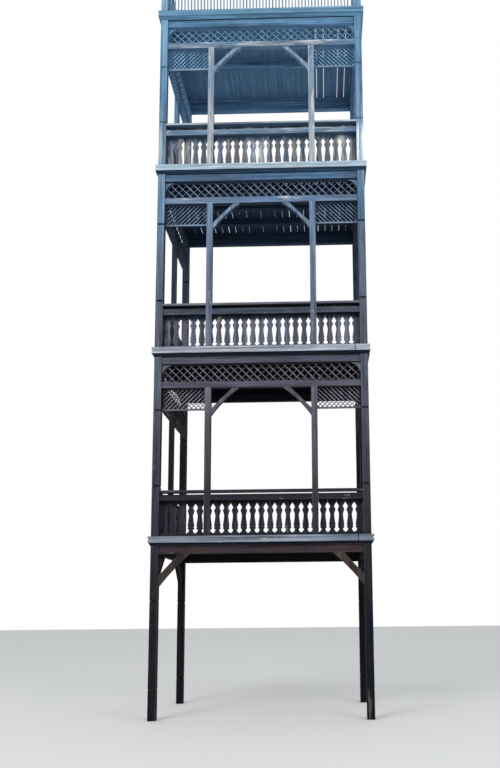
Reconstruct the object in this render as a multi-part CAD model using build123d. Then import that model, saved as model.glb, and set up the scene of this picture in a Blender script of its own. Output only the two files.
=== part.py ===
from build123d import *
from math import sqrt
import os

os.makedirs("parts", exist_ok=True)

# A timber balcony tower of three storeys and a roof terrace, in millimetres.
# The origin is at ground level, in the middle of the plan: +X to the right, +Y to the house wall.

# Plan, from post centre to post centre
post = 150
width_centres = 4250
depth_centres = 2400
middle_bay = 2180

# Walking surfaces above the ground, and the top of the corner posts above the last one
deck_heights = [3590, 7515, 11575, 15235]
terrace_post_height = 1010

# Frame timbers stand back from the corner posts' outer faces
frame_inset = 25
frame_depth = 100
mid_post = 125
beam_height = 150

# Deck: boards on joists, with a moulded board round the edge
deck_thickness = 30
joist_height = 160
joist_width = 100
joist_setback = 15
joist_count = 5
terrace_joist_count = 3
edge_height = 130
edge_thickness = 50
edge_lip = 38
edge_bevel = 12
mitre_gap = 2

# Sloping moulding under the edge board, down to the top of the beams
moulding_overhang = 30
moulding_lip = 10
moulding_toe = 6

# V grooves round the corner posts
groove_height = 28
groove_depth = 11
ground_grooves = [590, 2310]
groove_above_deck = 1028
groove_below_lattice = 25

# Frieze under each upper deck
upper_lattice = 385
frieze_rail = 130
lower_lattice = 445
lattice_bar = 35
slat_width = 20
slat_thickness = 12
slat_pitch = 162

# Balustrade, heights above the deck
board_thickness = 24
board_pitch = 178
board_foot = 15
mid_rail_foot = 728
mid_rail = 120
board_lap = 105
handrail_tops = [940, 975, 1015]
handrail_height = 55
handrail_width = 118
handrail_overhang = 10
handrail_chamfer = 18
bottom_rail = 60

# The hole sawn between two boards: half widths at heights above the deck
hole_outline = [(0, 70), (49, 131), (21, 195), (48, 428), (20, 534), (48, 598), (0, 677)]

# Braces: reach along the beam, drop down the post, width at the ends and the arch's rise
arch_brace = 590
arch_brace_width = 105
arch_rise = 38
knee_reach = 630
knee_drop = 670
knee_width = 155
knee_rise = 24
brace_depth = 75
bracket_reach = 175
bracket_tip = 22
bracket_depth = 40

# Terrace railing
terrace_rail = 60
terrace_rail_depth = 40
terrace_rail_inset = 85
terrace_foot = 70
terrace_height = 950
picket_pitch = 72
picket_width = 26
picket_depth = 18

# Worked out from the sizes above
skin_face = frame_inset + frame_depth
front_clear = width_centres - post
side_clear = depth_centres - post
plan_width = width_centres + post
plan_depth = depth_centres + post
front_face = -(plan_depth + edge_thickness) / 2 + edge_thickness
rear_face = front_face + plan_depth
middle_y = (front_face + rear_face) / 2
beam_top = -deck_thickness - joist_height
beam_bottom = beam_top - beam_height
storeys = [(deck, upper + beam_bottom) for deck, upper in zip(deck_heights, deck_heights[1:])]

# Each side has its own frame: x along the side, y inwards from the corner posts' outer faces
front = Location((0, front_face, 0))
left = Location((-plan_width / 2, middle_y, 0), (0, 0, -90))
right = Location((plan_width / 2, middle_y, 0), (0, 0, 90))
rear = Location((0, rear_face, 0), (0, 0, 180))
railed_sides = [(front, front_clear), (left, side_clear), (right, side_clear)]


def timber(x0, x1, y0, y1, z0, z1):
    """A squared timber between two opposite corners."""
    middle = Pos((x0 + x1) / 2, (y0 + y1) / 2, (z0 + z1) / 2)
    return middle * Box(x1 - x0, y1 - y0, z1 - z0)


def frame_timber(x0, x1, z0, z1):
    """A timber in the plane of a side's frame."""
    return timber(x0, x1, frame_inset, skin_face, z0, z1)


def moulding(profile, x0, x1):
    """A length along a side, with its section drawn inwards and up."""
    return Pos(x0, 0, 0) * extrude(Plane.YZ * profile, amount=x1 - x0)


def panel(outline, y0, thickness):
    """A flat piece in the plane of a side, from its outline along the side and up."""
    drawn = Plane((0, y0, 0), x_dir=(1, 0, 0), z_dir=(0, -1, 0)) * outline
    return extrude(drawn, amount=-thickness)


def save(name, solids):
    export_step(Compound(label=name, children=solids), f"parts/{name}.step")


def grooved_post(top, grooves):
    """A square post with a V groove round all four faces at each given height."""
    half = post / 2
    edge = [(half, 0)]
    for height in grooves:
        edge.append((half, height - groove_height / 2))
        edge.append((half - groove_depth, height))
        edge.append((half, height + groove_height / 2))
    edge.append((half, top))
    mirrored = [(-x, z) for x, z in reversed(edge)]
    face = make_face(Plane.XZ * Polyline(*edge, *mirrored, close=True))
    grooved_two_ways = extrude(face, amount=half, both=True)
    return grooved_two_ways & (Rot(0, 0, 90) * grooved_two_ways)


def corner_posts():
    grooves = list(ground_grooves)
    for deck, ceiling in storeys:
        grooves.append(deck + groove_above_deck)
        grooves.append(ceiling - upper_lattice - frieze_rail - lower_lattice - groove_below_lattice)
    column = grooved_post(deck_heights[-1] + terrace_post_height, grooves)
    for name, x in (("left", -width_centres / 2), ("right", width_centres / 2)):
        save(f"post_front_{name}", [Pos(x, front_face + post / 2, 0) * column])
        save(f"post_rear_{name}", [Pos(x, rear_face - post / 2, 0) * column])


def beams(deck):
    sides = [(front, front_clear), (rear, front_clear), (left, side_clear), (right, side_clear)]
    return [
        side * frame_timber(-clear / 2, clear / 2, deck + beam_bottom, deck + beam_top)
        for side, clear in sides
    ]


def joists(deck):
    """Joists from side to side: the outer two between the posts, the others out to the edge boards."""
    foot = deck + beam_top
    head = deck - deck_thickness
    outer_y = frame_inset + joist_setback
    between_posts = timber(-front_clear / 2, front_clear / 2, outer_y, outer_y + joist_width, foot, head)
    pieces = [front * between_posts, rear * between_posts]
    span = plan_depth - 2 * outer_y - joist_width
    full = timber(-plan_width / 2, plan_width / 2, outer_y, outer_y + joist_width, foot, head)
    count = terrace_joist_count if deck == deck_heights[-1] else joist_count
    for index in range(1, count - 1):
        pieces.append(front * Pos(0, span * index / (count - 1), 0) * full)
    return pieces


def deck_boards(deck):
    """The boarded floor, notched round the four corner posts."""
    floor = Rectangle(plan_width, plan_depth)
    for x in (-width_centres / 2, width_centres / 2):
        for y in (-depth_centres / 2, depth_centres / 2):
            floor -= Pos(x, y) * Rectangle(post, post)
    return [Pos(0, middle_y, deck - deck_thickness) * extrude(floor, amount=deck_thickness)]


def mitred(profile, depth, x0, x1, mitre_start, mitre_end):
    """A moulding whose ends are mitred at 45 degrees or left square."""
    start = x0 - depth * mitre_start
    end = x1 + depth * mitre_end
    plan = make_face(Polyline((x0, 0), (start, -depth), (end, -depth), (x1, 0), close=True))
    tallest = deck_heights[-1] + edge_height
    return moulding(profile, start, end) & extrude(plan, amount=tallest)


def edge_trim(profile, depth):
    """A moulding on the front and both sides, mitred at the front corners."""
    half_front = plan_width / 2
    half_side = plan_depth / 2
    return [
        front * mitred(profile, depth, -half_front, half_front, 1, 1),
        left * mitred(profile, depth, -half_side, half_side - mitre_gap, 0, 1),
        right * mitred(profile, depth, mitre_gap - half_side, half_side, 1, 0),
    ]


def edge_boards(deck):
    """A board with two lips and a sunk middle."""
    outer = -edge_thickness
    sunk = outer + edge_bevel
    section = [
        (0, 0),
        (outer, 0),
        (outer, -edge_lip),
        (sunk, -edge_lip - edge_bevel),
        (sunk, edge_lip + edge_bevel - edge_height),
        (outer, edge_lip - edge_height),
        (outer, -edge_height),
        (0, -edge_height),
    ]
    profile = Pos(0, deck) * make_face(Polyline(*section, close=True))
    return edge_trim(profile, edge_thickness)


def under_mouldings(deck):
    """A sloping moulding from under the edge board back to the posts' faces."""
    section = [
        (0, -edge_height),
        (-moulding_overhang, -edge_height),
        (-moulding_overhang, -edge_height - moulding_lip),
        (-moulding_toe, beam_top),
        (0, beam_top),
    ]
    profile = Pos(0, deck) * make_face(Polyline(*section, close=True))
    return edge_trim(profile, moulding_overhang)


def mid_posts(deck, ceiling):
    head = ceiling - upper_lattice - frieze_rail
    upright = frame_timber(-mid_post / 2, mid_post / 2, deck, head)
    at_front = [front * Pos(x, 0, 0) * upright for x in (-middle_bay / 2, middle_bay / 2)]
    return at_front + [left * upright, right * upright]


def frieze_rails(ceiling):
    head = ceiling - upper_lattice
    foot = head - frieze_rail
    return [side * frame_timber(-clear / 2, clear / 2, foot, head) for side, clear in railed_sides]


def lower_panels():
    """Places of the lower lattice panels: side, and the two ends along it."""
    inner_end = middle_bay / 2 - mid_post / 2
    return [
        (front, -front_clear / 2, -inner_end),
        (front, inner_end, front_clear / 2),
        (left, -side_clear / 2, side_clear / 2),
        (right, -side_clear / 2, side_clear / 2),
    ]


def lattice_frame(x0, x1, z0, z1):
    """A flat rectangular frame whose bars lie round the given lattice."""
    centre = Pos((x0 + x1) / 2, (z0 + z1) / 2)
    outline = centre * Rectangle(x1 - x0, z1 - z0 + 2 * lattice_bar)
    outline -= centre * Rectangle(x1 - x0 - 2 * lattice_bar, z1 - z0)
    return panel(outline, skin_face, 2 * slat_thickness)


def lattice_frames(ceiling):
    rail_top = ceiling - upper_lattice
    rail_foot = rail_top - frieze_rail
    lower_foot = rail_foot - lower_lattice + lattice_bar
    frames = []
    for side, clear in railed_sides:
        frames.append(side * lattice_frame(-clear / 2, clear / 2, rail_top, ceiling))
    frames += [side * lattice_frame(x0, x1, lower_foot, rail_foot) for side, x0, x1 in lower_panels()]
    return frames


def slats(clear, z0, z1, lean):
    """Slats at 45 degrees in one layer of a lattice, cut to its frame."""
    height = z1 - z0
    width = clear - 2 * lattice_bar
    count = int((width + height) / slat_pitch / 2)
    window = Pos(0, (z0 + z1) / 2) * Rectangle(width, height)
    bar = Rot(0, 0, 45 * lean) * Rectangle(2 * height, slat_width)
    y0 = skin_face if lean < 0 else skin_face + slat_thickness
    layer = []
    for index in range(-count, count + 1):
        cut_bar = Pos(index * slat_pitch, (z0 + z1) / 2) * bar & window
        layer.append(panel(cut_bar, y0, slat_thickness))
    return layer


def lattice_layer(ceiling, lean):
    layer = []
    for side, clear in railed_sides:
        layer += [side * slat for slat in slats(clear, ceiling - upper_lattice, ceiling, lean)]
    return layer


def hole():
    """The outline that the sawn edges of two neighbouring boards leave open."""
    mirrored = [(-x, z) for x, z in reversed(hole_outline[1:-1])]
    return make_face(Polyline(*hole_outline, *mirrored, close=True))


def pierced_boards(deck):
    head = mid_rail_foot + board_lap
    pieces = []
    for side, clear in railed_sides:
        boards = round(clear / board_pitch)
        outline = Pos(0, (board_foot + head) / 2) * Rectangle(clear, head - board_foot)
        for index in range(boards + 1):
            outline -= Pos((index / boards - 0.5) * clear, 0) * hole()
        pieces.append(side * Pos(0, 0, deck) * panel(outline, skin_face, board_thickness))
    return pieces


def bays():
    """Clear lengths between uprights: side and the two ends along it."""
    near = middle_bay / 2 - mid_post / 2
    far = middle_bay / 2 + mid_post / 2
    found = [(front, -front_clear / 2, -far), (front, -near, near), (front, far, front_clear / 2)]
    for side in (left, right):
        found.append((side, -side_clear / 2, -mid_post / 2))
        found.append((side, mid_post / 2, side_clear / 2))
    return found


def balustrade_rails(deck, handrail_top):
    """In each bay a bottom rail, a mid rail and the handrail over it."""
    grip = Rectangle(handrail_width, handrail_height)
    grip = chamfer(grip.vertices().group_by(Axis.Y)[-1], handrail_chamfer)
    grip = Pos(handrail_overhang + handrail_width / 2, handrail_top - handrail_height / 2) * grip
    pieces = []
    for side, x0, x1 in bays():
        place = side * Pos(0, 0, deck)
        pieces.append(place * moulding(grip, x0, x1))
        pieces.append(place * frame_timber(x0, x1, mid_rail_foot, mid_rail_foot + mid_rail))
        pieces.append(place * timber(x0, x1, skin_face - bottom_rail, skin_face, 0, bottom_rail))
    return pieces


def brace(reach, drop, width, rise):
    """A brace between an upright at x = 0 and a beam at z = 0, straight above and arched below."""
    end = width * sqrt(2)
    lift = rise / sqrt(2)
    arch = ThreePointArc((0, -drop), (reach / 2 - lift, -drop / 2 + lift), (reach, 0))
    straight = Polyline((reach, 0), (reach - end, 0), (0, end - drop), (0, -drop))
    outline = make_face([arch, straight])
    return panel(outline, frame_inset + (frame_depth - brace_depth) / 2, brace_depth)


def arch_braces():
    """A pair in the middle bay of each storey, under the frieze rail."""
    curved = brace(arch_brace, arch_brace, arch_brace_width, arch_rise)
    face = middle_bay / 2 - mid_post / 2
    pieces = []
    for deck, ceiling in storeys:
        level = ceiling - upper_lattice - frieze_rail
        pieces.append(front * Pos(-face, 0, level) * curved)
        pieces.append(front * Pos(face, 0, level) * mirror(curved, Plane.YZ))
    return pieces


def knee_braces():
    """Braces from the corner posts to the first deck's front and side beams."""
    knee = brace(knee_reach, knee_drop, knee_width, knee_rise)
    level = deck_heights[0] + beam_bottom
    pieces = []
    for side, clear in railed_sides:
        pieces.append(side * Pos(-clear / 2, 0, level) * knee)
        pieces.append(side * Pos(clear / 2, 0, level) * mirror(knee, Plane.YZ))
    return pieces


def corner_brackets():
    """Hollow quarter rounds in the top corners of the front's upper lattices."""
    square = Pos(bracket_reach / 2, -bracket_reach / 2) * Rectangle(bracket_reach, bracket_reach)
    spandrel = square - Pos(bracket_reach, -bracket_reach) * Circle(bracket_reach - bracket_tip)
    piece = panel(spandrel, skin_face - bracket_depth, bracket_depth)
    pieces = []
    for deck, ceiling in storeys:
        pieces.append(front * Pos(-front_clear / 2, 0, ceiling) * piece)
        pieces.append(front * Pos(front_clear / 2, 0, ceiling) * mirror(piece, Plane.YZ))
    return pieces


def terrace_frames(deck):
    """A flat frame on each railed side of the terrace, between the corner posts."""
    frames = []
    tall = terrace_height - terrace_foot
    for side, clear in railed_sides:
        outline = Rectangle(clear, tall) - Rectangle(clear - 2 * terrace_rail, tall - 2 * terrace_rail)
        middle = side * Pos(0, 0, deck + terrace_foot + tall / 2)
        frames.append(middle * panel(outline, terrace_rail_inset, terrace_rail_depth))
    return frames


def terrace_pickets(deck):
    z0 = deck + terrace_foot + terrace_rail
    z1 = deck + terrace_height - terrace_rail
    y0 = terrace_rail_inset + (terrace_rail_depth - picket_depth) / 2
    picket = timber(-picket_width / 2, picket_width / 2, y0, y0 + picket_depth, z0, z1)
    pieces = []
    for side, clear in railed_sides:
        opening = clear - 2 * terrace_rail
        gaps = round(opening / picket_pitch)
        for index in range(1, gaps):
            pieces.append(side * Pos((index / gaps - 0.5) * opening, 0, 0) * picket)
    return pieces


corner_posts()
save("knee_braces", knee_braces())
save("arch_braces", arch_braces())
save("corner_brackets", corner_brackets())

for number, deck in enumerate(deck_heights, start=1):
    save(f"beams_{number}", beams(deck))
    save(f"deck_boards_{number}", deck_boards(deck))
    save(f"edge_boards_{number}", edge_boards(deck))

save("joists", [piece for deck in deck_heights for piece in joists(deck)])
save("under_mouldings", [piece for deck in deck_heights for piece in under_mouldings(deck)])

for number, (deck, ceiling) in enumerate(storeys, start=1):
    save(f"mid_posts_{number}", mid_posts(deck, ceiling))
    save(f"balustrade_rails_{number}", balustrade_rails(deck, handrail_tops[number - 1]))
    save(f"balustrade_boards_{number}", pierced_boards(deck))
    save(f"frieze_rails_{number}", frieze_rails(ceiling))
    save(f"lattice_frames_{number}", lattice_frames(ceiling))
    save(f"lattice_front_slats_{number}", lattice_layer(ceiling, -1))
    save(f"lattice_back_slats_{number}", lattice_layer(ceiling, 1))

save("terrace_frames", terrace_frames(deck_heights[-1]))
save("terrace_pickets", terrace_pickets(deck_heights[-1]))
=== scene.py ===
import bpy
import math
import random
from mathutils import Matrix, Vector


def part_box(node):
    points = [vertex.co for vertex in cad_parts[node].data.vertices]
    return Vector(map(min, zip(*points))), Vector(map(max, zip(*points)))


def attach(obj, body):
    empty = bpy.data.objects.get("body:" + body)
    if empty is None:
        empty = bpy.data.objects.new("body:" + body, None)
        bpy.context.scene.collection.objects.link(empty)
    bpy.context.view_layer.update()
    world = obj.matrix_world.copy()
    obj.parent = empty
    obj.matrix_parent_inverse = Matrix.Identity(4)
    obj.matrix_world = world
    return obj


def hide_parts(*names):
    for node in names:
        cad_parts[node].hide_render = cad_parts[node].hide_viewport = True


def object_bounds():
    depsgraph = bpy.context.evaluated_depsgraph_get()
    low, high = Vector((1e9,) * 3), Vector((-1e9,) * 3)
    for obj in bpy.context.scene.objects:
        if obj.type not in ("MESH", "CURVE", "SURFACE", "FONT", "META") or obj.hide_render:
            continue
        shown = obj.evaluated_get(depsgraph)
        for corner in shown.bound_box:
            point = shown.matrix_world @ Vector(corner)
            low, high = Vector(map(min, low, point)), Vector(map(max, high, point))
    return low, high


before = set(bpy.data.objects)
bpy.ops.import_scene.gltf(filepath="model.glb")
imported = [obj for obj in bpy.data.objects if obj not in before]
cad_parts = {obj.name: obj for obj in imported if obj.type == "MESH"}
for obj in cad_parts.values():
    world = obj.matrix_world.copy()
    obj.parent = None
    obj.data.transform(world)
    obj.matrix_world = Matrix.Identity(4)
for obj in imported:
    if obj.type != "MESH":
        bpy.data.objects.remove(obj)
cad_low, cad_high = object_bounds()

# The viewpoint: a low eye in front of the tower, right of its middle, tipped up a little. The shift lifts
# the picture as a tall facade needs it, so that the posts stay nearly upright: centre_x and centre_y are
# the pixel where the lens's axis meets the picture.
eye = Vector((1.274, -13.866, 2.044))
eye_yaw, eye_pitch, eye_roll = 0.0166, 0.1168, -0.0098
picture_width, picture_height = 500, 768
centre_x, centre_y = 314.35, 538

bpy.ops.object.camera_add(location=eye)
camera = bpy.context.object
turn = Matrix.Rotation(eye_yaw, 3, "Z")
turn = turn @ Matrix.Rotation(math.pi / 2 + eye_pitch, 3, "X")
turn = turn @ Matrix.Rotation(eye_roll, 3, "Z")
camera.rotation_euler = turn.to_euler()
camera.data.sensor_width = 36
camera.data.lens = 30
camera.data.shift_x = (picture_width / 2 - centre_x) / picture_height
camera.data.shift_y = (centre_y - picture_height / 2) / picture_height
camera.data.clip_end = 200
bpy.context.scene.camera = camera
bpy.context.scene.view_settings.view_transform = "Standard"

# The studio: a pale floor, an even pale surround and two wide soft lamps in front of the tower.
# The surround is white where it is seen, and the light that it gives the timber is dimmer and a little cool.
floor_size = 160
surround_light, surround_strength = (0.93, 0.96, 1.0, 1), 0.72
lamp_size = 9
lamp_aim = Vector((0, 0, 8))
soft_lamps = [(Vector((-9, -15, 17)), 1500), (Vector((11, -13, 12)), 700)]


def paint(red, green, blue):
    """A colour as it looks on a screen, 0 to 255, turned into the light values that a shader takes."""
    shares = [value / 255 for value in (red, green, blue)]
    return tuple(((s + 0.055) / 1.055) ** 2.4 if s > 0.04 else s / 12.92 for s in shares) + (1.0,)


def deselect():
    bpy.ops.object.select_all(action="DESELECT")


deselect()
bpy.ops.mesh.primitive_plane_add(size=floor_size)
floor = bpy.context.object
floor.name = "studio_floor"
studio_finish = bpy.data.materials.new("studio_floor")
studio_finish.use_nodes = True
studio_shader = studio_finish.node_tree.nodes["Principled BSDF"]
studio_shader.inputs["Base Color"].default_value = paint(226, 226, 224)
studio_shader.inputs["Roughness"].default_value = 0.9
floor.data.materials.append(studio_finish)

world = bpy.data.worlds.new("studio")
bpy.context.scene.world = world
world.use_nodes = True
surround = world.node_tree
rays = surround.nodes.new("ShaderNodeLightPath").outputs
seen = rays["Is Camera Ray"]
for ray in ("Is Glossy Ray", "Is Transmission Ray"):
    either = surround.nodes.new("ShaderNodeMath")
    either.operation = "MAXIMUM"
    surround.links.new(seen, either.inputs[0])
    surround.links.new(rays[ray], either.inputs[1])
    seen = either.outputs[0]
backdrop = surround.nodes.new("ShaderNodeBackground")
backdrop.inputs["Color"].default_value = (1, 1, 1, 1)
backdrop.inputs["Strength"].default_value = 1.0
ambient = surround.nodes["Background"]
ambient.inputs["Color"].default_value = surround_light
ambient.inputs["Strength"].default_value = surround_strength
lit_or_seen = surround.nodes.new("ShaderNodeMixShader")
surround.links.new(seen, lit_or_seen.inputs[0])
surround.links.new(ambient.outputs[0], lit_or_seen.inputs[1])
surround.links.new(backdrop.outputs[0], lit_or_seen.inputs[2])
surround.links.new(lit_or_seen.outputs[0], surround.nodes["World Output"].inputs["Surface"])

for lamp_place, lamp_watts in soft_lamps:
    bpy.ops.object.light_add(type="AREA", location=lamp_place)
    lamp = bpy.context.object
    lamp.data.shape = "DISK"
    lamp.data.size = lamp_size
    lamp.data.energy = lamp_watts
    lamp.rotation_euler = (lamp_aim - lamp_place).to_track_quat("-Z", "Y").to_euler()

# Corner posts: four squared timbers stand on the ground and run up to the terrace rail, each with
# V grooves sawn round it. They were stained dark, and the weather bleaches them more with height; the blue
# that grows towards the top is painted haze light.
storey_count = 3
post_low, post_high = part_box("post_front_left")
post_width = post_high.x - post_low.x
rear_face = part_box("post_rear_left")[1].y
plan_half_width = -post_low.x
plan_half_depth = (rear_face - post_low.y) / 2
plan_middle_y = (rear_face + post_low.y) / 2
tower_height = cad_high.z
outer_skin = 0.155

ground_grooves = [0.59, 2.31]
groove_over_deck = 1.028
groove_under_lattice = 0.025
# The share of light that the painted shade at the grooves leaves, storey by storey.
groove_light = [0.1, 0.1, 0.55]
groove_line, joint_line = (0.018, 0.026), (0.008, 0.014)
joint_light = 0.25

# Waves of each noise to the metre, along the grain and across it.
fibre_waves = (2.2, 70, 70)
streak_waves = (0.5, 14, 14)
blotch_waves = (1.1, 3.0, 3.0)
patch_waves = (1.3, 5.5, 5.5)
crack_waves = (1.6, 42, 42)

# How strongly the noises and the weather show.
cast_strength, bare_strength, bare_growth = 0.7, 0.75, 0.3
fibre_contrast, streak_contrast = 0.35, 0.40
crack_light = 0.45
# How strongly painted shade darkens faces that look into the tower or down.
painted_shade_strength = 0.88
band_foot_fade, band_head_fade, band_strength = 0.08, 0.12, 0.9
board_lightness = (0.78, 1.22)
# Rounded edges: the radius that finds them, and how strongly wear and a painted highlight show there.
rub_and_highlight_radius, rub_and_highlight_strength, sheltered_rub_and_highlight = 0.012, 0.4, 0.2
grain_depth, fibre_relief, crack_relief = 0.004, 0.4, 0.6
# Painted shade: the dark tone, by height, of faces that look into the tower or down.
shaded_tones = [
    (0.0, paint(20, 20, 27)),
    (3.3, paint(10, 10, 14)),
    (7.2, paint(11, 12, 18)),
    (11.3, paint(34, 50, 72)),
    (15.0, paint(98, 136, 172)),
]
# Colours of rounded edges: bare wood, and partly a painted highlight.
rubbed_and_highlight_tones = [(11.6, paint(170, 172, 178)), (15.0, paint(112, 148, 178))]
top_dirt_tone, top_dirt_strength = paint(70, 68, 70), 0.6


def socket(tree, kind, inputs, settings=None, output=0):
    """Adds a node, fills its inputs with values or links, and returns one output."""
    made = tree.nodes.new("ShaderNode" + kind)
    for name, value in (settings or {}).items():
        setattr(made, name, value)
    for place, value in inputs.items():
        if isinstance(value, bpy.types.NodeSocket):
            tree.links.new(value, made.inputs[place])
        else:
            made.inputs[place].default_value = value
    return made.outputs[output]


def math_of(tree, operation, first, second=0.0):
    return socket(tree, "Math", {0: first, 1: second}, {"operation": operation})


def product(tree, first, *others):
    for other in others:
        first = math_of(tree, "MULTIPLY", first, other)
    return first


def rescale(tree, value, given, wanted):
    """A value moved from one range to another, and held within it."""
    return socket(tree, "MapRange", {0: value, 1: given[0], 2: given[1], 3: wanted[0], 4: wanted[1]})


def tint(tree, factor, first, second, how="MIX"):
    return socket(tree, "Mix", {0: factor, 6: first, 7: second}, {"data_type": "RGBA", "blend_type": how}, 2)


def parts_of(tree, vector):
    apart = tree.nodes.new("ShaderNodeSeparateXYZ")
    tree.links.new(vector, apart.inputs[0])
    return apart.outputs


def grain_place(tree, position, run):
    """Object position turned so that its first axis follows the grain."""
    x, y, z = parts_of(tree, position)
    if run == "up":
        return socket(tree, "CombineXYZ", {0: z, 1: x, 2: y})
    if run == "wide":
        return position
    front_to_back = socket(tree, "CombineXYZ", {0: y, 1: x, 2: z})
    if run == "deep":
        return front_to_back
    past_side = math_of(tree, "SUBTRACT", math_of(tree, "ABSOLUTE", x), plan_half_width)
    from_middle = math_of(tree, "ABSOLUTE", math_of(tree, "SUBTRACT", y, plan_middle_y))
    past_front = math_of(tree, "SUBTRACT", from_middle, plan_half_depth)
    on_side = math_of(tree, "GREATER_THAN", past_side, past_front)
    return socket(tree, "Mix", {0: on_side, 4: position, 5: front_to_back}, {"data_type": "VECTOR"}, 1)


def noise(tree, place, waves, detail, rough, twist=0.0):
    """Fractal noise on a place that is stretched along each axis."""
    stretched = socket(tree, "Mapping", {0: place, 3: waves})
    settings = {"noise_dimensions": "3D"}
    return socket(tree, "TexNoise", {0: stretched, 2: 1.0, 3: detail, 4: rough, 8: twist}, settings)


def tone_at(tree, height, tones):
    """A colour, or one that changes with height, from (height, colour) pairs from the ground up."""
    if not isinstance(tones, list):
        return tones
    ramp = tree.nodes.new("ShaderNodeValToRGB")
    tree.links.new(rescale(tree, height, (0.0, tower_height), (0.0, 1.0)), ramp.inputs[0])
    stops = ramp.color_ramp.elements
    while len(stops) < len(tones):
        stops.new(0.5)
    for stop, (level, colour) in zip(stops, tones):
        stop.position = level / tower_height
        stop.color = colour
    return ramp.outputs[0]


def shade_and_shelter_of(tree, position, normal):
    """1 on faces that look into the tower or down, 0 on the outside of its front and sides and on tops:
    painted shade.
    """
    x, y = parts_of(tree, position)[:2]
    across, deep, up = parts_of(tree, normal)
    outward = product(tree, across, math_of(tree, "SIGN", x))
    at_side = math_of(tree, "GREATER_THAN", math_of(tree, "ABSOLUTE", x), plan_half_width - outer_skin)
    at_front = math_of(tree, "LESS_THAN", y, plan_middle_y - plan_half_depth + outer_skin)
    open_side = product(tree, outward, at_side)
    open_front = product(tree, deep, -1.0, at_front)
    open_face = math_of(tree, "MAXIMUM", math_of(tree, "MAXIMUM", open_side, open_front), up)
    return rescale(tree, open_face, (0.55, 0.25), (0.0, 1.0))


def bare_band(tree, colour, height, bareness, band):
    """Lays bare wood over a colour on a share of the surface, fading in and out between two heights."""
    low, high, bare_tone, share = band
    over_foot = rescale(tree, height, (low - band_foot_fade, low + band_foot_fade), (0, 1))
    under_head = rescale(tree, height, (high + band_head_fade, high - band_head_fade), (0, 1))
    growth = bare_growth * share
    bare = rescale(tree, bareness, (1.15 - growth, 1.25 - growth), (0, band_strength))
    return tint(tree, product(tree, over_foot, under_head, bare), colour, bare_tone)


def board_shade(tree, x, y, step):
    """A lightness of its own for each board, counted along the front and along the sides."""
    across = math_of(tree, "FLOOR", math_of(tree, "DIVIDE", x, step))
    deep = math_of(tree, "FLOOR", math_of(tree, "DIVIDE", y, step))
    board = math_of(tree, "ADD", across, deep)
    own = socket(tree, "TexWhiteNoise", {1: board}, {"noise_dimensions": "1D"})
    return rescale(tree, own, (0, 1), board_lightness)


def line_shade(tree, place, level, line, light_left):
    """A line where a coordinate passes a level: dark up to line's first distance, gone past its second."""
    away = math_of(tree, "ABSOLUTE", math_of(tree, "SUBTRACT", place, level))
    return rescale(tree, away, line, (light_left, 1.0))


def rubbed_and_highlight_share(tree, normal, streak, shaded_and_sheltered):
    """How far an edge is rubbed bare and given a painted highlight: in streaks, and little on faces turned in
    or down.
    """
    rounded = socket(tree, "Bevel", {0: rub_and_highlight_radius}, {"samples": 4})
    meeting = socket(tree, "VectorMath", {0: rounded, 1: normal}, {"operation": "DOT_PRODUCT"}, 1)
    edge = rescale(tree, meeting, (0.98, 0.75), (0.0, 1.0))
    in_streaks = rescale(tree, streak, (0.35, 0.62), (0.0, rub_and_highlight_strength))
    return product(tree, edge, in_streaks, rescale(tree, shaded_and_sheltered, (0, 1), (1, sheltered_rub_and_highlight)))


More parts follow.
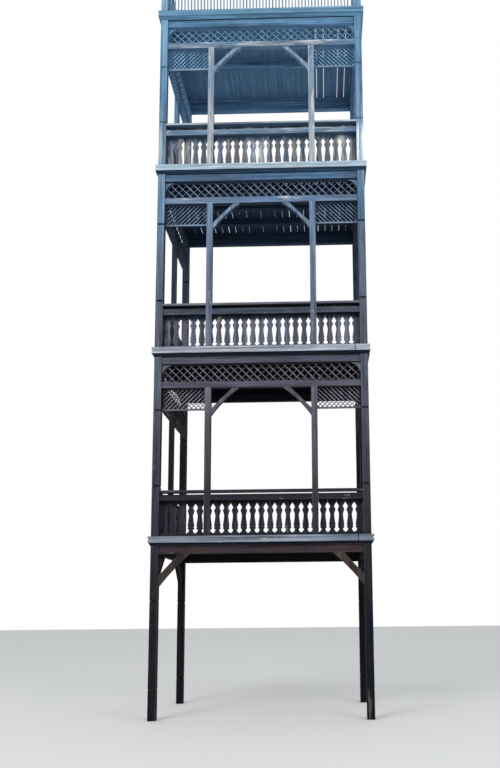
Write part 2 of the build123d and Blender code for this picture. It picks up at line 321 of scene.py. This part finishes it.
def timber(name, tones, run="sides", cast=None, worn=None, wear=0.0, top=None, contrast=1.0, relief=0.5,
           bands=(), boards=None, joints=(), rings=()):
    """Weathered timber: fibres and streaks along the grain, cracks, blotches, bare patches and rubbed edges.

    tones and cast are each one colour, or (height, colour) pairs; cast lies over tones in blotches. worn is
    the bare wood that shows on a share of the surface, and top is the colour of upward faces. bands are
    (low, high, colour, share) stretches of bare wood, boards is the step at which the tone changes from board
    to board, joints are places across the front where a length ends, and rings are (height, share of light
    left) pairs for sawn grooves, where painted shade darkens the wood. Faces that look into the tower or down
    take a dark painted shade.
    """
    finish = bpy.data.materials.new(name)
    finish.use_nodes = True
    tree = finish.node_tree
    shader = tree.nodes["Principled BSDF"]
    position = tree.nodes.new("ShaderNodeTexCoord").outputs["Object"]
    normal = tree.nodes.new("ShaderNodeNewGeometry").outputs["Normal"]
    x, y, z = parts_of(tree, position)
    shaded_and_sheltered = shade_and_shelter_of(tree, position, normal)
    along = grain_place(tree, position, run)
    fibre = noise(tree, along, fibre_waves, detail=6, rough=0.65)
    streak = noise(tree, along, streak_waves, detail=4, rough=0.6, twist=0.3)
    patch = noise(tree, along, patch_waves, detail=6, rough=0.65, twist=0.4)
    crack = noise(tree, along, crack_waves, detail=3, rough=0.5, twist=0.8)
    split = rescale(tree, crack, (0.30, 0.38), (crack_light, 1.0))

    colour = tone_at(tree, z, tones)
    if cast:
        blotch = noise(tree, along, blotch_waves, detail=5, rough=0.6)
        cast_share = rescale(tree, blotch, (0.40, 0.62), (0.0, cast_strength))
        colour = tint(tree, cast_share, colour, tone_at(tree, z, cast))
    if worn:
        growth = bare_growth * wear
        bare = rescale(tree, patch, (0.64 - growth, 0.76 - growth), (0.0, bare_strength))
        colour = tint(tree, bare, colour, worn)
    for band in bands:
        colour = bare_band(tree, colour, z, math_of(tree, "ADD", patch, streak), band)
    # Faces that look into the tower or down take painted shade.
    colour = tint(tree, product(tree, shaded_and_sheltered, painted_shade_strength), colour, tone_at(tree, z, shaded_tones))

    fine, broad = fibre_contrast * contrast, streak_contrast * contrast
    shade = rescale(tree, fibre, (0.30, 0.70), (1 - fine, 1 + fine))
    shade = product(tree, shade, rescale(tree, streak, (0.34, 0.66), (1 - broad, 1 + broad)), split)
    if boards:
        shade = product(tree, shade, board_shade(tree, x, y, boards))
    for place in joints:
        shade = product(tree, shade, line_shade(tree, x, place, joint_line, joint_light))
    for level, light_left in rings:
        shade = product(tree, shade, line_shade(tree, z, level, groove_line, light_left))
    grey = socket(tree, "CombineColor", {0: shade, 1: shade, 2: shade})
    colour = tint(tree, 1.0, colour, grey, "MULTIPLY")
    # Rounded edges: rubbed bare in streaks, and partly a painted highlight.
    rubbed = rubbed_and_highlight_share(tree, normal, streak, shaded_and_sheltered)
    colour = tint(tree, rubbed, colour, tone_at(tree, z, rubbed_and_highlight_tones))
    if top:
        upward = math_of(tree, "GREATER_THAN", parts_of(tree, normal)[2], 0.6)
        dirt = rescale(tree, fibre, (0.35, 0.65), (0.0, top_dirt_strength))
        colour = tint(tree, upward, colour, tint(tree, dirt, top, top_dirt_tone))
    tree.links.new(colour, shader.inputs["Base Color"])

    tree.links.new(rescale(tree, fibre, (0.3, 0.7), (0.9, 0.65)), shader.inputs["Roughness"])
    shader.inputs["Specular IOR Level"].default_value = 0.1
    raised = math_of(tree, "ADD", product(tree, fibre, fibre_relief), product(tree, split, crack_relief))
    tree.links.new(socket(tree, "Bump", {0: relief, 1: grain_depth, 3: raised}), shader.inputs["Normal"])
    return finish


def dress(finish, *nodes):
    """Gives a finish to construction nodes that keep their own shape."""
    for node in nodes:
        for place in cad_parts[node].material_slots:
            place.material = finish


left_tones = [
    (0.0, paint(12, 16, 20)),
    (0.8, paint(18, 20, 26)),
    (2.0, paint(31, 29, 37)),
    (2.9, paint(39, 37, 45)),
    (4.0, paint(67, 63, 77)),
    (5.5, paint(60, 57, 68)),
    (6.7, paint(78, 84, 100)),
    (8.0, paint(82, 88, 102)),
    (9.6, paint(94, 106, 128)),
    (10.7, paint(98, 134, 165)),
    (12.0, paint(98, 114, 128)),
    (13.2, paint(80, 117, 148)),
    (14.3, paint(106, 146, 176)),
    (16.2, paint(128, 166, 192)),
]
right_tones = [
    (0.0, paint(12, 16, 20)),
    (0.8, paint(10, 16, 24)),
    (2.0, paint(15, 22, 31)),
    (2.9, paint(25, 32, 40)),
    (4.0, paint(48, 47, 54)),
    (5.5, paint(60, 58, 69)),
    (6.7, paint(80, 85, 101)),
    (8.0, paint(70, 79, 92)),
    (9.6, paint(87, 89, 105)),
    (10.7, paint(58, 93, 122)),
    (12.0, paint(122, 150, 172)),
    (13.2, paint(90, 115, 142)),
    (14.3, paint(73, 114, 144)),
    (16.2, paint(104, 142, 172)),
]
post_casts = [
    (0.0, paint(22, 24, 28)),
    (3.6, paint(46, 40, 46)),
    (5.5, paint(74, 68, 78)),
    (8.0, paint(74, 74, 86)),
    (11.0, paint(104, 124, 144)),
    (13.5, paint(100, 138, 168)),
    (16.2, paint(132, 168, 190)),
]
left_bands = [(11.6, 12.4, paint(132, 147, 154), 0.5)]
right_bands = [(11.55, 12.4, paint(196, 208, 216), 1.3), (0.0, 0.52, paint(80, 80, 76), 0.3)]
worn_stain = paint(130, 134, 142)
post_looks = {
    "front_left": (left_tones, left_bands),
    "front_right": (right_tones, right_bands),
    "rear_left": (left_tones, []),
    "rear_right": (right_tones, []),
}
# Painted shade in a narrow band at each sawn groove, deep low down and faint on the top storey.
groove_shade_rings = [(height, groove_light[0]) for height in ground_grooves]
for storey in range(storey_count):
    deck_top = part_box(f"deck_boards_{storey + 1}")[1].z
    lattice_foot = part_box(f"lattice_frames_{storey + 1}")[0].z
    groove_shade_rings.append((deck_top + groove_over_deck, groove_light[storey]))
    groove_shade_rings.append((lattice_foot - groove_under_lattice, groove_light[storey]))
for corner, (tones, bands) in post_looks.items():
    post_finish = timber(
        f"stained_post_{corner}", tones, "up", post_casts, worn_stain, wear=0.04,
        bands=bands, rings=groove_shade_rings,
    )
    dress(post_finish, f"post_{corner}")

# Knee braces: short timbers stained brown, a little arched below, two on the front and two on each side.
# They rise from the corner posts to the first deck's beams.
brown_stain, brown_cast, bare_brown = paint(54, 44, 42), paint(76, 66, 60), paint(104, 94, 88)
dress(timber("brown_braces", brown_stain, "up", brown_cast, bare_brown, wear=0.05), "knee_braces")

# Decks: four squared beams lie between the posts of each deck, and joists lie over them from side to side.
# The undersides carry painted shade, nearly black on the lower decks and paler and bluer higher up, where the
# blue is painted haze light. A dark gap shows where the front beams butt against the right post.
deck_count = 4
# The blue of the upper decks' beams is painted haze light.
beam_tones = [paint(54, 46, 53), paint(72, 73, 88), paint(72, 100, 129), paint(72, 108, 138)]
beam_casts = [paint(68, 53, 52), paint(88, 84, 97), paint(84, 106, 130), paint(92, 128, 156)]
bare_beam = paint(150, 148, 150)
beam_bare = [bare_beam, bare_beam, None, None]
beam_end = plan_half_width - post_width
for deck in range(deck_count):
    beam_finish = timber(
        f"beams_{deck + 1}", beam_tones[deck], "sides", beam_casts[deck], beam_bare[deck], wear=0.04,
        joints=[beam_end],
    )
    dress(beam_finish, f"beams_{deck + 1}")
# Painted shade under the decks: nearly black low down, paler and bluer higher up.
ceiling_shade_tones = [
    (3.5, paint(6, 5, 8)),
    (7.4, paint(7, 7, 11)),
    (11.5, paint(30, 44, 66)),
    (15.2, paint(88, 132, 170)),
]
dress(timber("joists", ceiling_shade_tones, "wide", relief=0.3), "joists")

# Floor boards: planed boards are nailed over the joists from front to back, the outermost ones between the
# corner posts. Slits of light show through their gaps, which get narrower towards the right, and on the top
# deck a few boards there have shrunk.
full_board_count = 24
board_gaps = [0.004, 0.005, 0.007, 0.0012]
left_gap_factor, right_gap_factor = 1.5, 0.7
gap_share_range = (0.2, 0.9)
shrunk_gap, shrunk_boards = 0.009, (20, 21, 23, 24)
gap_to_post = 0.004
board_edge_bevel = 0.003
level_tolerance = 0.001
deck_top_tone = paint(128, 124, 120)


def block(low, high):
    """A squared piece between two corners, left selected and active."""
    deselect()
    middle = (Vector(low) + Vector(high)) / 2
    bpy.ops.mesh.primitive_cube_add(size=1, location=middle, scale=Vector(high) - Vector(low))
    bpy.ops.object.transform_apply(location=True, rotation=True, scale=True)
    return bpy.context.object


def bevel_edges(piece, width, wanted):
    """Bevels the edges whose two ends both pass a test."""
    bpy.ops.object.mode_set(mode="EDIT")
    bpy.ops.mesh.select_mode(type="EDGE")
    bpy.ops.mesh.select_all(action="DESELECT")
    bpy.ops.object.mode_set(mode="OBJECT")
    points = piece.data.vertices
    for edge in piece.data.edges:
        edge.select = all(wanted(points[index].co) for index in edge.vertices)
    bpy.ops.object.mode_set(mode="EDIT")
    bpy.ops.mesh.bevel(offset=width, segments=1)
    bpy.ops.object.mode_set(mode="OBJECT")


def one_mesh(pieces):
    """Joins pieces into one object, left selected and active."""
    deselect()
    for piece in pieces:
        piece.select_set(True)
    bpy.context.view_layer.objects.active = pieces[0]
    bpy.ops.object.join()
    return bpy.context.object


def join(pieces, name, finish, replaced=()):
    """Joins pieces into one mesh with a name and a finish, carried by the tower."""
    joined = one_mesh(pieces)
    joined.name = name
    joined.data.name = name
    joined.data.materials.clear()
    joined.data.materials.append(finish)
    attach(joined, "root")
    if replaced:
        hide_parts(*replaced)


chance = random.Random(7)
for deck in range(deck_count):
    low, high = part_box(f"deck_boards_{deck + 1}")
    board_step = (high.x - low.x - 2 * post_width) / full_board_count
    inner_edges = [low.x + post_width + step * board_step for step in range(full_board_count + 1)]
    edges = [low.x] + inner_edges + [high.x]
    laid = []
    for number, (left_edge, right_edge) in enumerate(zip(edges, edges[1:])):
        clear_of_post = post_width + gap_to_post if number in (0, full_board_count + 1) else 0.0
        share_across = number / full_board_count
        gap_factor = left_gap_factor + (right_gap_factor - left_gap_factor) * share_across
        left_gap = board_gaps[deck] * gap_factor * chance.uniform(*gap_share_range)
        right_gap = board_gaps[deck] * gap_factor * chance.uniform(*gap_share_range)
        if deck == deck_count - 1 and number in shrunk_boards:
            left_gap = shrunk_gap
        start_x = left_edge + (left_gap if number else 0)
        end_x = right_edge - (right_gap if number <= full_board_count else 0)
        board = block((start_x, low.y + clear_of_post, low.z), (end_x, high.y - clear_of_post, high.z))
        bevel_edges(board, board_edge_bevel, lambda point: point.z > high.z - level_tolerance)
        laid.append(board)
    # Floor boards take the painted shade of the ceilings below, and their own colour on top.
    floor_finish = timber(
        f"floor_boards_{deck + 1}", ceiling_shade_tones, "deep", top=deck_top_tone, contrast=0.5, relief=0.3,
    )
    join(laid, f"floor_boards_{deck + 1}", floor_finish, [f"deck_boards_{deck + 1}"])

# Edge boards: moulded boards with two lips run round the front and sides of each deck, bleached light grey;
# the blue on the top deck is painted haze light. A sloping moulding below each one carries the line back to
# the posts. On the two lower decks the front board is made of two lengths that meet near its right end.
edge_tones = [paint(112, 120, 134), paint(143, 149, 162), paint(152, 172, 186), paint(98, 138, 164)]
edge_casts = [paint(138, 146, 157), paint(170, 176, 186), paint(176, 192, 202), paint(96, 136, 162)]
bare_edge = paint(205, 208, 212)
edge_bare = [bare_edge, bare_edge, bare_edge, None]
edge_joint = 1.94
edge_joints = [[edge_joint], [edge_joint], [], []]
for deck in range(deck_count):
    edge_finish = timber(
        f"edge_boards_{deck + 1}", edge_tones[deck], "sides", edge_casts[deck], edge_bare[deck], wear=0.15,
        joints=edge_joints[deck],
    )
    dress(edge_finish, f"edge_boards_{deck + 1}")
# Painted shade: the sloping mouldings under the edge boards are dark, paler higher up.
moulding_shade_tones = [
    (3.0, paint(16, 19, 29)),
    (7.4, paint(22, 24, 37)),
    (11.4, paint(26, 52, 75)),
    (15.1, paint(80, 118, 144)),
]
dress(timber("under_mouldings", moulding_shade_tones, "sides"), "under_mouldings")

# Storeys: mid posts stand on the deck and carry the frieze rail, with arched braces in the middle bay and
# small brackets in the top corners of the front. Each bay has a bottom rail, a mid rail and a handrail, and
# the higher storeys are bleached more; their blue is painted haze light.
mid_post_tones = [
    (3.7, paint(50, 50, 59)),
    (4.5, paint(54, 53, 61)),
    (5.0, paint(78, 69, 80)),
    (5.7, paint(82, 74, 85)),
    (6.6, paint(101, 102, 117)),
    (7.6, paint(92, 101, 118)),
    (8.4, paint(92, 101, 118)),
    (9.3, paint(98, 112, 130)),
    (10.6, paint(106, 132, 160)),
    (11.7, paint(146, 158, 166)),
    (12.6, paint(128, 146, 160)),
    (13.2, paint(106, 127, 148)),
    (14.3, paint(118, 139, 156)),
]
mid_post_casts = [
    (4.4, paint(46, 44, 52)),
    (6.6, paint(84, 78, 88)),
    (7.6, paint(84, 90, 108)),
    (10.6, paint(98, 114, 138)),
    (11.7, paint(160, 152, 146)),
    (14.3, paint(136, 138, 142)),
]
mid_rail_tones = [paint(34, 36, 48), paint(52, 62, 74), paint(82, 109, 135)]
handrail_tones = [paint(56, 50, 58), paint(104, 106, 116), paint(164, 178, 190)]
rail_casts = [paint(46, 40, 46), paint(78, 82, 94), paint(112, 122, 132)]
frieze_tones = [paint(88, 88, 101), paint(88, 114, 143), paint(92, 124, 152)]
frieze_casts = [paint(78, 74, 86), paint(112, 124, 143), paint(118, 134, 146)]
bare_post, bare_rail, bare_frieze = paint(188, 188, 186), paint(166, 170, 174), paint(186, 188, 192)
storey_wear = [0.0, 0.15, 0.45]
tone_step_over_boards, tone_step_height = 0.02, 0.04
for storey in range(storey_count):
    number = storey + 1
    wear = storey_wear[storey]
    mid_finish = timber(f"mid_posts_{number}", mid_post_tones, "up", mid_post_casts, bare_post, wear)
    dress(mid_finish, f"mid_posts_{number}")
    rail_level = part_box(f"balustrade_boards_{number}")[1].z + tone_step_over_boards
    rail_tones = [
        (rail_level, mid_rail_tones[storey]),
        (rail_level + tone_step_height, handrail_tones[storey]),
    ]
    rail_finish = timber(
        f"balustrade_rails_{number}", rail_tones, "sides", rail_casts[storey], bare_rail, wear,
    )
    dress(rail_finish, f"balustrade_rails_{number}")
    frieze_finish = timber(
        f"frieze_rails_{number}", frieze_tones[storey], "sides", frieze_casts[storey], bare_frieze, wear,
    )
    dress(frieze_finish, f"frieze_rails_{number}")
brace_tones = [(6.6, paint(84, 78, 88)), (10.6, paint(102, 122, 146)), (14.3, paint(116, 138, 158))]
brace_finish = timber("arch_braces", brace_tones, "up", worn=paint(170, 172, 176), wear=0.2)
dress(brace_finish, "arch_braces")
bracket_tones = [(7.1, paint(132, 142, 152)), (11.1, paint(118, 142, 166)), (14.8, paint(100, 140, 170))]
bracket_finish = timber("corner_brackets", bracket_tones, "up", contrast=0.6, relief=0.2)
dress(bracket_finish, "corner_brackets")

# Balustrade boards: each board is sawn along both edges, so that two neighbours leave open the outline
# of a turned baluster. They are nailed upright behind the rails, and in the two upper storeys they run
# on up to the handrail.
saw_line = [
    (0.070, 0.000), (0.092, 0.030), (0.112, 0.045), (0.132, 0.049), (0.150, 0.040), (0.164, 0.021),
    (0.180, 0.022), (0.196, 0.032), (0.208, 0.030), (0.220, 0.021), (0.270, 0.029), (0.340, 0.039),
    (0.428, 0.048), (0.465, 0.040), (0.500, 0.027), (0.530, 0.019), (0.556, 0.032), (0.580, 0.045),
    (0.598, 0.048), (0.630, 0.030), (0.677, 0.000),
]
board_thickness = 0.024
board_kerf = 0.0006
board_step_wanted = 0.178
mid_rail_lap = 0.105
handrail_height = 0.055
balustrade_tones = [paint(42, 45, 57), paint(86, 90, 107), paint(90, 106, 124)]
balustrade_casts = [paint(50, 47, 57), paint(92, 88, 100), paint(118, 106, 102)]
bare_board = paint(176, 174, 168)
# Painted shadow on the boards, under the mid rail and behind the handrail.
under_rail_shadow_tones = [paint(26, 27, 34), paint(40, 44, 58), paint(56, 74, 94)]
handrail_shadow_tones = [None, paint(12, 14, 22), paint(42, 58, 74)]
shadow_start, shadow_full = 0.10, 0.06
behind_handrail_step = 0.01
front_place = Matrix.Translation((0, plan_middle_y - plan_half_depth, 0))
left_middle = Matrix.Translation((-plan_half_width, plan_middle_y, 0))
right_middle = Matrix.Translation((plan_half_width, plan_middle_y, 0))
sides = {
    "front": (front_place, plan_half_width - post_width),
    "left": (left_middle @ Matrix.Rotation(-math.pi / 2, 4, "Z"), plan_half_depth - post_width),
    "right": (right_middle @ Matrix.Rotation(math.pi / 2, 4, "Z"), plan_half_depth - post_width),
}


def copy_of(piece, move):
    """A copy with a mesh of its own, moved by a matrix."""
    twin = bpy.data.objects.new(piece.name, piece.data.copy())
    twin.data.transform(move)
    bpy.context.collection.objects.link(twin)
    return twin


def sawn_board(step, foot, head, face):
    """One board, upright at x = 0: a strip of rows, each drawn in to the saw line, then thickened."""
    rows = [(foot, 0.0)] + saw_line + [(head, 0.0)]
    deselect()
    bpy.ops.mesh.primitive_grid_add(
        x_subdivisions=1, y_subdivisions=len(rows) - 1, size=1,
        location=(0, face, 0.5), rotation=(math.pi / 2, 0, 0),
    )
    bpy.ops.object.transform_apply(location=True, rotation=True, scale=True)
    board = bpy.context.object
    for point in board.data.vertices:
        row_height, sawn = rows[round(point.co.z * (len(rows) - 1))]
        half = step / 2 - board_kerf - sawn
        point.co = (math.copysign(half, point.co.x), face, row_height)
    bpy.ops.object.mode_set(mode="EDIT")
    bpy.ops.mesh.select_all(action="SELECT")
    bpy.ops.mesh.extrude_region_move(TRANSFORM_OT_translate={"value": (0, board_thickness, 0)})
    bpy.ops.mesh.select_all(action="SELECT")
    bpy.ops.mesh.normals_make_consistent(inside=False)
    bpy.ops.object.mode_set(mode="OBJECT")
    return board


def shaded_by_rails(tone, storey, mid_rail_head):
    """A board's tones with height: its own, painted shadow under the mid rail, and darker painted shadow
    behind the handrail.
    """
    rail_foot = mid_rail_head - mid_rail_lap
    tones = [(rail_foot - shadow_start, tone), (rail_foot - shadow_full, under_rail_shadow_tones[storey])]
    if storey:
        tones.append((mid_rail_head, under_rail_shadow_tones[storey]))
        tones.append((mid_rail_head + behind_handrail_step, handrail_shadow_tones[storey]))
    return tones


for storey in range(storey_count):
    number = storey + 1
    low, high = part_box(f"balustrade_boards_{number}")
    deck_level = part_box(f"deck_boards_{number}")[1].z
    skin_face = low.y + plan_half_depth - plan_middle_y
    board_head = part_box(f"balustrade_rails_{number}")[1].z - handrail_height if storey else high.z
    nailed = []
    for place, half_clear in sides.values():
        count = round(2 * half_clear / board_step_wanted)
        step = 2 * half_clear / count
        pattern = sawn_board(step, low.z - deck_level, board_head - deck_level, skin_face)
        for index in range(count):
            shift = Matrix.Translation(((index + 0.5) * step - half_clear, 0, deck_level))
            nailed.append(copy_of(pattern, place @ shift))
        bpy.data.objects.remove(pattern)
    board_tones = shaded_by_rails(balustrade_tones[storey], storey, high.z)
    board_casts = shaded_by_rails(balustrade_casts[storey], storey, high.z)
    board_finish = timber(
        f"balustrade_boards_{number}", board_tones, "up", board_casts, bare_board, storey_wear[storey],
        contrast=1.3, boards=board_step_wanted,
    )
    join(nailed, f"sawn_boards_{number}", board_finish, [f"balustrade_boards_{number}"])

# Lattices: thin slats in two layers, one over the other, leaning opposite ways in a flat frame. The upper
# lattice is open. The lower one, in the outer bays and along the sides, has finer slats at a finer pitch,
# and its frame runs on behind the mid post as far as the post's inner face.
slat_tones = [paint(112, 108, 121), paint(104, 122, 146), paint(98, 136, 166)]
# The back slats are painted darker than the front ones: painted shade.
shaded_back_slat_tones = [paint(70, 67, 80), paint(60, 75, 98), paint(84, 122, 154)]
fine_slat_tones = [paint(126, 122, 137), paint(100, 126, 154), paint(112, 150, 180)]
# Painted shade: the fine back slats are darker than the fine front ones.
shaded_fine_back_tones = [paint(32, 31, 40), paint(28, 42, 62), paint(74, 112, 146)]
# The frames are painted dark as shade, all but the lower bar, which keeps a light tone.
lattice_frame_shade_tones = [paint(30, 29, 37), paint(44, 56, 74), paint(84, 118, 148)]
lower_bar_tones = [paint(112, 110, 120), paint(110, 128, 148), paint(122, 146, 166)]
bar_tone_end, frame_tone_start = 0.002, 0.012
middle_bay = 2.18
mid_post_width = 0.125
lattice_bar = 0.035
slat_thickness = 0.012
fine_slat_width = 0.017
fine_slat_step = 0.093
cut_tolerance = 0.00001


def fine_layer(place, start, end, foot, head, face, lean):
    """Slats at 45 degrees in one layer, laid past the frame and then cut off along its four edges."""
    tall, wide = head - foot, end - start
    half_slat = Vector((tall, slat_thickness / 2, fine_slat_width / 2))
    pattern = block(-half_slat, half_slat)
    pattern.data.transform(Matrix.Rotation(-lean * math.pi / 4, 4, "Y"))
    middle = Vector(((start + end) / 2, face + slat_thickness / 2, (foot + head) / 2))
    count = int((wide + tall) / fine_slat_step / 2)
    laid = []
    for index in range(-count, count + 1):
        shift = Matrix.Translation(middle + Vector((index * fine_slat_step, 0, 0)))
        laid.append(copy_of(pattern, shift))
    bpy.data.objects.remove(pattern)
    layer = one_mesh(laid)
    cuts = [
        ((start, 0, 0), (-1, 0, 0)),
        ((end, 0, 0), (1, 0, 0)),
        ((0, 0, foot), (0, 0, -1)),
        ((0, 0, head), (0, 0, 1)),
    ]
    bpy.ops.object.mode_set(mode="EDIT")
    for cut, outwards in cuts:
        bpy.ops.mesh.select_all(action="SELECT")
        bpy.ops.mesh.bisect(
            plane_co=cut, plane_no=outwards, use_fill=True, clear_outer=True, threshold=cut_tolerance,
        )
    bpy.ops.object.mode_set(mode="OBJECT")
    layer.data.transform(place)
    return layer


inner_end = middle_bay / 2 - mid_post_width / 2 + lattice_bar
front_half = sides["front"][1] - lattice_bar
side_half = sides["left"][1] - lattice_bar
lower_panels = [
    ("front", -front_half, -inner_end, 1),
    ("front", inner_end, front_half, -1),
    ("left", -side_half, side_half, 1),
    ("right", -side_half, side_half, -1),
]
for storey in range(storey_count):
    number = storey + 1
    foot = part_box(f"lattice_frames_{number}")[0].z + lattice_bar
    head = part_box(f"frieze_rails_{number}")[0].z
    frame_tones = [
        (foot + bar_tone_end, lower_bar_tones[storey]),
        (foot + frame_tone_start, lattice_frame_shade_tones[storey]),
    ]
    dress(timber(f"lattice_frames_{number}", frame_tones, "sides"), f"lattice_frames_{number}")
    front_finish = timber(f"front_slats_{number}", slat_tones[storey], "up", relief=0.2)
    dress(front_finish, f"lattice_front_slats_{number}")
    back_finish = timber(f"back_slats_{number}", shaded_back_slat_tones[storey], "up", relief=0.2)
    dress(back_finish, f"lattice_back_slats_{number}")

    slat_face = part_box(f"lattice_front_slats_{number}")[0].y + plan_half_depth - plan_middle_y
    near, far = [], []
    for side, start, end, lean in lower_panels:
        place = sides[side][0]
        near.append(fine_layer(place, start, end, foot, head, slat_face, lean))
        far.append(fine_layer(place, start, end, foot, head, slat_face + slat_thickness, -lean))
    near_finish = timber(f"fine_front_slats_{number}", fine_slat_tones[storey], "up", relief=0.2)
    join(near, f"fine_front_slats_{number}", near_finish)
    far_finish = timber(f"fine_back_slats_{number}", shaded_fine_back_tones[storey], "up", relief=0.2)
    join(far, f"fine_back_slats_{number}", far_finish)

# Terrace rail: light frames with thin pickets stand between the corner posts of the top deck, on its front
# and sides. The sun has bleached them pale, and their blue is painted haze light.
terrace_tone, terrace_cast, bare_terrace = paint(112, 138, 156), paint(98, 130, 154), paint(170, 180, 188)
terrace_finish = timber("terrace_rail", terrace_tone, "up", terrace_cast, bare_terrace, wear=0.2)
dress(terrace_finish, "terrace_frames", "terrace_pickets")
